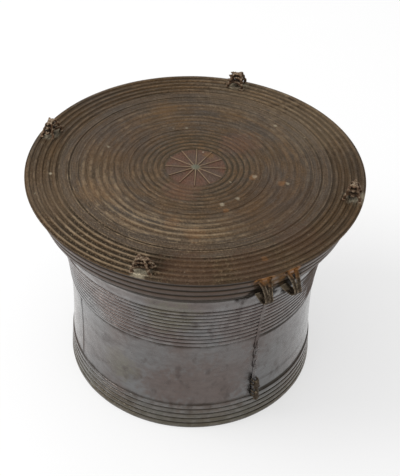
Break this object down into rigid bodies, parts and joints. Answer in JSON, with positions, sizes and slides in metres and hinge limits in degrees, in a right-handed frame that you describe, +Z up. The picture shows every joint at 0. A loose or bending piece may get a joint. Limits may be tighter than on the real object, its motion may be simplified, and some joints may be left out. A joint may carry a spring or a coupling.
{
  "type": "bronze drum",
  "caption": "Waisted bronze drum with a flat banded head, an open foot, looped strap handles under the rim, stacked frogs on it and a file of animals down one side.",
  "frame": {"origin": "middle of the foot's rim plane, on the drum's axis", "axes": "+Z up along the drum's axis, +X through the front handles and the file of animals"},
  "size_m": [0.6794, 0.64, 0.4857],
  "materials": {
    "head_bronze": "dark olive-brown patina, satin, paler on the ridges",
    "wall_bronze": "grey-brown patina, smooth satin sheen, dark in the grooves",
    "cast_bronze": "brown patina with rust-coloured traces, rougher than the wall"
  },
  "bodies": {
    "root": {"tympanum": "head_bronze", "mantle": "wall_bronze", "handle_front_left": "cast_bronze", "handle_front_right": "cast_bronze", "handle_rear_left": "cast_bronze", "handle_rear_right": "cast_bronze", "frog_1_lower": "cast_bronze", "frog_1_middle": "cast_bronze", "frog_1_upper": "cast_bronze", "frog_2_lower": "cast_bronze", "frog_2_middle": "cast_bronze", "frog_2_upper": "cast_bronze", "frog_3_lower": "cast_bronze", "frog_3_middle": "cast_bronze", "frog_3_upper": "cast_bronze", "frog_4_lower": "cast_bronze", "frog_4_middle": "cast_bronze", "frog_4_upper": "cast_bronze", "animal_strip": "cast_bronze", "snail_1": "cast_bronze", "snail_2": "cast_bronze", "snail_3": "cast_bronze", "elephant_1": "cast_bronze", "elephant_2": "cast_bronze", "seam_left": "wall_bronze", "seam_right": "wall_bronze"}
  },
  "joints": []
}
